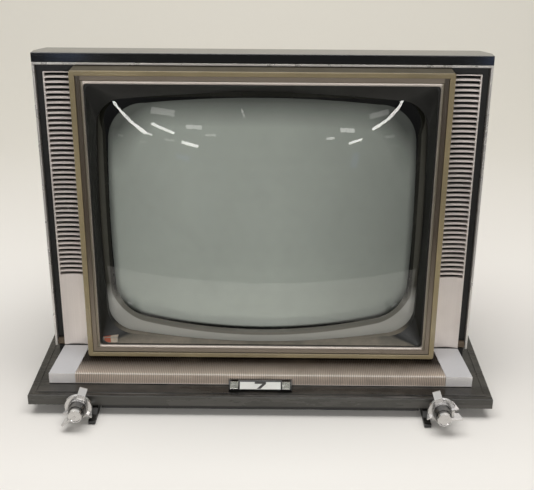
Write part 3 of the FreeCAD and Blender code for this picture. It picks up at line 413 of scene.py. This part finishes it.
def thin_glass(name, tint, gloss=True):
    """Clear glass seen straight through; its outer faces are glossy unless it lies behind other glass."""
    g = Graph(name)
    through = g.add("BsdfTransparent")
    g.put(through.inputs[0], (*tint, 1.0))
    if not gloss:
        g.put(g.out.inputs["Surface"], through.outputs[0])
        return g.mat
    shine = g.add("BsdfGlossy")
    g.put(shine.inputs["Roughness"], g.ramp(g.noise(40.0, 4.0), 0.35, 0.75, 0.03, 0.1))
    fresnel = g.add("Fresnel")
    g.put(fresnel.inputs["IOR"], 1.5)
    outside = g.minus(1.0, g.add("NewGeometry").outputs["Backfacing"])
    mix = g.add("MixShader")
    g.put(mix.inputs[0], g.times(fresnel.outputs[0], outside))
    g.put(mix.inputs[1], through.outputs[0])
    g.put(mix.inputs[2], shine.outputs[0])
    g.put(g.out.inputs["Surface"], mix.outputs[0])
    return g.mat


def badge_paint():
    """Red-orange tile and off-white tile in a thin bright frame."""
    g = Graph("badge_enamel")
    x, y, _ = g.split(g.where)
    tile = g.ramp(x, BADGE_X - 0.0001, BADGE_X + 0.0001)
    tone = g.mix(tile, linear((176, 92, 68)), linear((196, 184, 166)))
    tone = g.mix(g.ramp(g.noise(300.0, 4.0), 0.4, 0.7, 0.0, 0.3), tone, linear((120, 100, 84)))
    rim = g.ramp(y, FRONT - 0.0203, FRONT - 0.0202, 1.0, 0.0)
    return g.finish(Base_Color=g.mix(rim, tone, linear((170, 168, 160))), Metallic=rim, Roughness=0.3,
                    Normal=g.bump(g.noise(700.0, 2.0), 0.2, 0.00005, g.soft_edges(0.0003)))


def key_finish():
    """Push key: bright plate on the sloping top, black plastic below it."""
    g = Graph("key_top")
    _, _, up = g.split(g.add("NewGeometry").outputs["Normal"])
    plate = g.ramp(up, 0.3, 0.4)
    rough = g.ramp(g.noise(80.0, 5.0), 0.3, 0.7, 0.12, 0.3)
    return g.finish(Base_Color=g.mix(plate, linear((30, 29, 27)), linear((206, 204, 198))), Metallic=plate,
                    Roughness=rough, Normal=g.bump(g.noise(900.0, 2.0), 0.2, 0.00004, g.soft_edges(0.0005)))


def wear(node, mat):
    o = NODES[node]
    o.data.materials.clear()
    o.data.materials.append(mat)


BLACK_GLOSS = plastic("black_gloss", (12, 12, 11), 0.10, coat=1.0, dust=0.06, scratch=0.12)
BLACK = plastic("black_satin", (12, 11, 9), 0.45, dust=0.06, scratch=0.3)
PLINTH = plinth_lacquer()
# screen mask: a paler matt tone on what faces up
MASK = plastic("mask_black", (20, 20, 16), 0.42, dust=0.75, scratch=0.15, up_face_tone=(112, 108, 96))
# bezel frame: painted highlight on its level members, and the same pale tone towards its bottom
FRAME = plastic("bezel_grey_brown", (78, 68, 56), 0.34, dust=0.35, scratch=0.35, ledge_highlight=(172, 158, 140))
# amber rim: a darker matt tone on what faces up
AMBER = plastic("aged_acrylic", (150, 136, 104), 0.2, mottle=0.22, coat=0.5, dust=0.1, scratch=0.3,
                up_face_tone=(44, 40, 28))
BROWN = plastic("back_moulding", (46, 38, 32), 0.6, bump=0.5, dust=0.2)
HARDBOARD = plastic("hardboard", (112, 78, 46), 0.75, mottle=0.25, grain=0.2, bump=0.6)
CHROME = metal("chrome", (226, 222, 216), 0.27, 0.6, tarnish=0.1)
# bezel trim: painted highlight on its level members
SMOKED = metal("smoked_trim", (150, 142, 126), 0.36, 0.8, tarnish=0.25, level_highlight_tone=(216, 206, 196))
# front knobs: painted highlight on their tops, painted shade on their barrels
KNOB = metal("knob_chrome", (206, 204, 202), 0.2, 0.95, tarnish=0.2, dust=0.0, painted_top_tone=(250, 248, 246),
             painted_barrel_shade=(74, 72, 70))
# grille columns: painted shade, black deep inside the slots
SILVER = metal("silver_satin", (240, 231, 224), 0.38, 0.65, brush="z", tarnish=0.1, painted_shade_from=FRONT + 0.0034)
# deck caps: painted shade on their tops, darker than their pale fronts
SILVER_CAPS = metal("silver_satin_caps", (255, 251, 248), 0.42, 0.4, brush="y", tarnish=0.08, dust=0.05,
                    painted_top_tone=(204, 203, 204))
CHAMPAGNE = ribbed_deck()
STEEL = metal("steel", (170, 168, 162), 0.35, brush="x")
COPPER = metal("enamelled_copper", (150, 76, 40), 0.35, 0.8)
DARK_PAINT = plastic("dark_paint", (36, 36, 37), 0.45)
FERRITE = plastic("ferrite", (44, 44, 47), 0.7, bump=0.6)
BAKELITE = plastic("bakelite", (62, 36, 24), 0.35, mottle=0.25)
BLACK_KNOB = plastic("black_knob", (26, 26, 26), 0.35)
LEAD = plastic("lead_insulation", (118, 30, 24), 0.5)
PAPER = plastic("cone_paper", (48, 42, 36), 0.9, bump=0.8)
CLOTH = plastic("speaker_cloth", (8, 8, 8), 0.95, bump=0.9, dust=0.0)
PHOSPHOR = phosphor()
GRAPHITE = plastic("graphite", (22, 22, 22), 0.6, dust=0.1)
LABEL = plastic("label_white", (226, 226, 220), 0.3, mottle=0.04, dust=0.1, scratch=0.1)
PANEL_GLASS = face_glass("panel_glass")
BULB_GLASS = thin_glass("bulb_glass", (1.0, 1.0, 1.0), False)
VALVE_GLASS = thin_glass("valve_glass", (0.85, 0.87, 0.86))
BADGE = badge_paint()
KEY = key_finish()

LOOKS = {
    "top_panel": BLACK_GLOSS, "right_side_panel": BLACK, "left_side_panel": BLACK, "riser": BLACK,
    "baffle": HARDBOARD, "front_surround": BLACK, "chrome_trim": CHROME, "grille_right": SILVER,
    "grille_left": SILVER, "grille_cloths": CLOTH, "back_cover": BROWN, "screws": STEEL, "bezel_rim": AMBER,
    "bezel_frame": FRAME, "bezel_trim": SMOKED, "screen_mask": MASK, "safety_panel": PANEL_GLASS,
    "tube_faceplate": BULB_GLASS, "phosphor_screen": PHOSPHOR, "tube_funnel": GRAPHITE,
    "tube_neck": VALVE_GLASS,
    "electron_gun": STEEL, "tube_base": BAKELITE, "tube_socket": BAKELITE, "implosion_band": STEEL,
    "anode_lead": LEAD, "yoke_core": FERRITE, "yoke_coils": COPPER, "centring_ring_front": FERRITE,
    "centring_ring_rear": FERRITE, "plinth": PLINTH, "sub_base": BLACK, "runner_right": BLACK,
    "runner_left": BLACK, "deck_ribbed": CHAMPAGNE, "deck_cap_right": SILVER_CAPS, "deck_cap_left": SILVER_CAPS,
    "label_housing": BLACK_GLOSS, "label_plate": LABEL, "key_right": KEY, "key_left": KEY,
    "volume_knob": KNOB, "contrast_knob": KNOB, "channel_knob": KNOB, "fine_tuning_knob": KNOB,
    "shaft_bushes": BLACK, "volume_control": STEEL, "channel_tuner": STEEL, "chassis_pan": STEEL,
    "valves": VALVE_GLASS, "power_transformer": DARK_PAINT, "flyback_transformer": FERRITE,
    "speaker_basket": DARK_PAINT, "speaker_cone": PAPER, "hold_controls": STEEL,
    "vertical_hold_knob": BLACK_KNOB, "horizontal_hold_knob": BLACK_KNOB, "ac_inlet": BAKELITE,
    "antenna_board": BAKELITE, "badge": BADGE,
}
for node_name, look in LOOKS.items():
    wear(node_name, look)


# ---------------------------------------------------------------- small pieces the CAD leaves plain
def corner_blocks():
    """Brown moulded stops that close the foot of the gap beside each column."""
    brown = plastic("brown_stop", (92, 78, 62), 0.5, mottle=0.25)
    for side, s in (("left", -1), ("right", 1)):
        x0, x1, y0, y1, z0, z1 = 0.2494, 0.2594, FRONT + 0.0012, FRONT + 0.0055, 0.0518, 0.0600
        c = 0.0008
        ring = [(x0, z0), (x1, z0), (x1, z1 - c), (x1 - c, z1), (x0 + c, z1), (x0, z1 - c)]
        verts = [(s * x, y, z) for y in (y0, y1) for x, z in ring]
        n = len(ring)
        faces = [tuple(range(n)) if s > 0 else tuple(reversed(range(n)))]
        faces.append(tuple(n + i for i in (reversed(range(n)) if s > 0 else range(n))))
        for i in range(n):
            j = (i + 1) % n
            quad = (i, i + n, j + n, j)
            faces.append(quad if s > 0 else tuple(reversed(quad)))
        stop = mesh_object("corner_stop_" + side, verts, faces, brown)
        soft = stop.modifiers.new("edges", "BEVEL")
        soft.width, soft.segments = 0.0006, 2
        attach(stop, "set")


def numeral():
    """Dark moulded 7 in the middle of the label."""
    ink = plastic("label_ink", (34, 32, 30), 0.4, dust=0.1)
    y0, z0 = DECK_FRONT - 0.0141, 0.0299
    y1, z1 = DECK_FRONT - 0.0040, 0.0342
    run = [(-0.0068, 0.98), (0.0070, 0.98), (0.0070, 0.74), (0.0004, 0.06), (-0.0040, 0.06), (0.0028, 0.74),
           (-0.0068, 0.74)]
    verts = []
    for lift in (0.00025, -0.0001):
        for x, t in run:
            y, z = y0 + (y1 - y0) * t, z0 + (z1 - z0) * t
            verts.append((x, y - lift * 0.4, z + lift * 0.92))
    n = len(run)
    faces = [tuple(reversed(range(n)))] + [(i, (i + 1) % n, n + (i + 1) % n, n + i) for i in range(n)]
    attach(mesh_object("label_numeral", verts, faces, ink), "set")


# ---------------------------------------------------------------- stage, light, camera
def mesh_object(name, verts, faces, mat, smooth=False):
    mesh = bpy.data.meshes.new(name)
    mesh.from_pydata(verts, [], faces)
    mesh.update()
    o = bpy.data.objects.new(name, mesh)
    bpy.context.scene.collection.objects.link(o)
    mesh.materials.append(mat)
    for p in mesh.polygons:
        p.use_smooth = smooth
    return o


def sweep():
    """Pale floor that curves up into the backdrop."""
    g = Graph("studio_paper")
    tone = g.ramp(g.noise(1.2, 2.0), 0.3, 0.7, 0.0, 1.0)
    paper = g.mix(tone, linear((234, 230, 224)), linear((239, 236, 230)))
    far = g.ramp(g.split(g.where)[1], 0.15, 1.2)
    paper = g.finish(Base_Color=g.mix(far, paper, linear((234, 230, 219))), Roughness=0.9)
    line = [(-0.352, -0.03), (-0.346, -0.003), (-0.338, 0.0), (0.9, 0.0)]
    for i in range(1, 13):
        a = math.radians(90 * i / 12)
        line.append((0.9 + 0.9 * math.sin(a), 0.9 - 0.9 * math.cos(a)))
    line.append((1.8, 3.4))
    verts = [(x, y, z) for y, z in line for x in (-3.2, 3.2)]
    faces = [(2 * i, 2 * i + 1, 2 * i + 3, 2 * i + 2) for i in range(len(line) - 1)]
    floor = mesh_object("studio_floor", verts, faces, paper, True)


def lamp(name, at, towards, size_x, size_y, power, colour=(1, 1, 1)):
    data = bpy.data.lights.new(name, "AREA")
    data.shape = "RECTANGLE"
    data.size, data.size_y = size_x, size_y
    data.energy = power
    data.color = colour
    o = bpy.data.objects.new(name, data)
    bpy.context.scene.collection.objects.link(o)
    o.location = at
    o.rotation_euler = (Vector(towards) - Vector(at)).to_track_quat("-Z", "Y").to_euler()
    return o


# ends, width and strength of the distant lamps that the tube's face mirrors; True for a bluish one
STREAKS = (
    ((-1.545, -2.755, 0.389), (-1.482, -2.785, 0.308), 0.028, 14),
    ((-1.482, -2.785, 0.308), (-1.376, -2.828, 0.193), 0.032, 14),
    ((-1.376, -2.828, 0.193), (-1.218, -2.883, 0.074), 0.034, 14),
    ((-1.218, -2.883, 0.074), (-1.158, -2.903, 0.066), 0.021, 9),
    ((1.396, -2.823, 0.427), (1.354, -2.842, 0.348), 0.032, 14),
    ((1.354, -2.842, 0.348), (1.252, -2.88, 0.235), 0.036, 14),
    ((1.252, -2.88, 0.235), (1.099, -2.928, 0.133), 0.032, 14),
    ((-1.169, -2.908, 0.318), (-0.933, -2.98, 0.295), 0.067, 2.6),
    ((-1.163, -2.907, 0.18), (-0.937, -2.971, 0.087), 0.030, 13),
    ((-0.816, -3.006, 0.165), (-0.653, -3.039, 0.157), 0.042, 5),
    ((-0.617, -3.041, 0.081), (-0.514, -3.058, 0.084), 0.023, 4),
    ((-0.856, -2.985, 0.002), (-0.693, -3.017, -0.04), 0.032, 13),
    ((-1.028, -2.941, 0.021), (-0.937, -2.966, 0.013), 0.021, 3.5),
    ((-1.277, -2.854, -0.013), (-1.207, -2.878, -0.019), 0.021, 1.6),
    ((-1.492, -2.769, 0.041), (-1.443, -2.79, 0.034), 0.021, 2.0),
    ((-0.244, -3.094, 0.363), (-0.218, -3.095, 0.281), 0.019, 7),
    ((-0.906, -2.956, -0.147), (-0.773, -2.985, -0.174), 0.054, 1.2, True),
    ((1.068, -2.942, 0.268), (1.261, -2.877, 0.317), 0.057, 2.0),
    ((0.776, -3.015, 0.14), (0.918, -2.98, 0.132), 0.042, 6.5),
    ((0.864, -2.985, -0.001), (0.995, -2.953, 0.037), 0.026, 14),
    ((0.634, -3.038, 0.055), (0.716, -3.022, 0.056), 0.023, 6),
    ((1.224, -2.881, 0.05), (1.318, -2.847, 0.062), 0.026, 1.6),
    ((0.94, -2.956, -0.092), (0.905, -2.941, -0.259), 0.074, 0.9, True),
    ((1.294, -2.847, -0.041), (1.352, -2.823, -0.041), 0.019, 0.9))


def streak(name, top, bottom, width, strength, blue=False):
    """A distant lamp or window, as the tube's face reflects it."""
    a, b = Vector(top), Vector(bottom)
    side = (b - a).cross(Vector((0, 1, 0))).normalized() * width / 2
    g = Graph(name)
    glow = g.add("Emission")
    g.put(glow.inputs[0], (0.45, 0.6, 1.0, 1.0) if blue else (1.0, 0.98, 0.94, 1.0))
    g.put(glow.inputs[1], g.ramp(g.noise(3.0, 1.0), 0.3, 0.7, strength * 0.85, strength * 1.15))
    g.put(g.out.inputs["Surface"], glow.outputs[0])
    corners = [tuple(v) for v in (a - side, a + side, b + side, b - side)]
    mesh_object(name, corners, [(0, 1, 2, 3)], g.mat)


def world():
    w = bpy.data.worlds.new("room")
    bpy.context.scene.world = w
    w.use_nodes = True
    w.node_tree.nodes["Background"].inputs[0].default_value = (0.12, 0.12, 0.12, 1.0)
    w.node_tree.nodes["Background"].inputs[1].default_value = 1.0


def camera():
    data = bpy.data.cameras.new("camera")
    data.sensor_width = 36.0
    data.lens = 65.9
    data.clip_start = 0.05
    o = bpy.data.objects.new("camera", data)
    bpy.context.scene.collection.objects.link(o)
    pitch, yaw, roll = math.radians(22.69), math.radians(-0.34), math.radians(0.38)
    forward = Vector((math.sin(yaw) * math.cos(pitch), math.cos(yaw) * math.cos(pitch), -math.sin(pitch)))
    aim = forward.to_track_quat("-Z", "Y") @ Quaternion((0, 0, 1), roll)
    o.location = (0.0133, -1.191, 0.653)
    o.rotation_euler = aim.to_euler()
    bpy.context.scene.camera = o


sweep()
world()
for number, ends in enumerate(STREAKS):
    streak(f"streak_{number}", *ends)
lamp("overhead", (0.0, -0.10, 2.2), (0.0, -0.05, 0.0), 2.8, 1.5, 51, (1.0, 0.99, 0.985))
lamp("front", (0.0, -2.8, 0.80), (0.0, 0.0, 0.25), 3.0, 0.4, 27, (1.0, 0.99, 0.985))
corner_blocks()
numeral()
camera()
bpy.context.scene.view_settings.view_transform = "Standard"
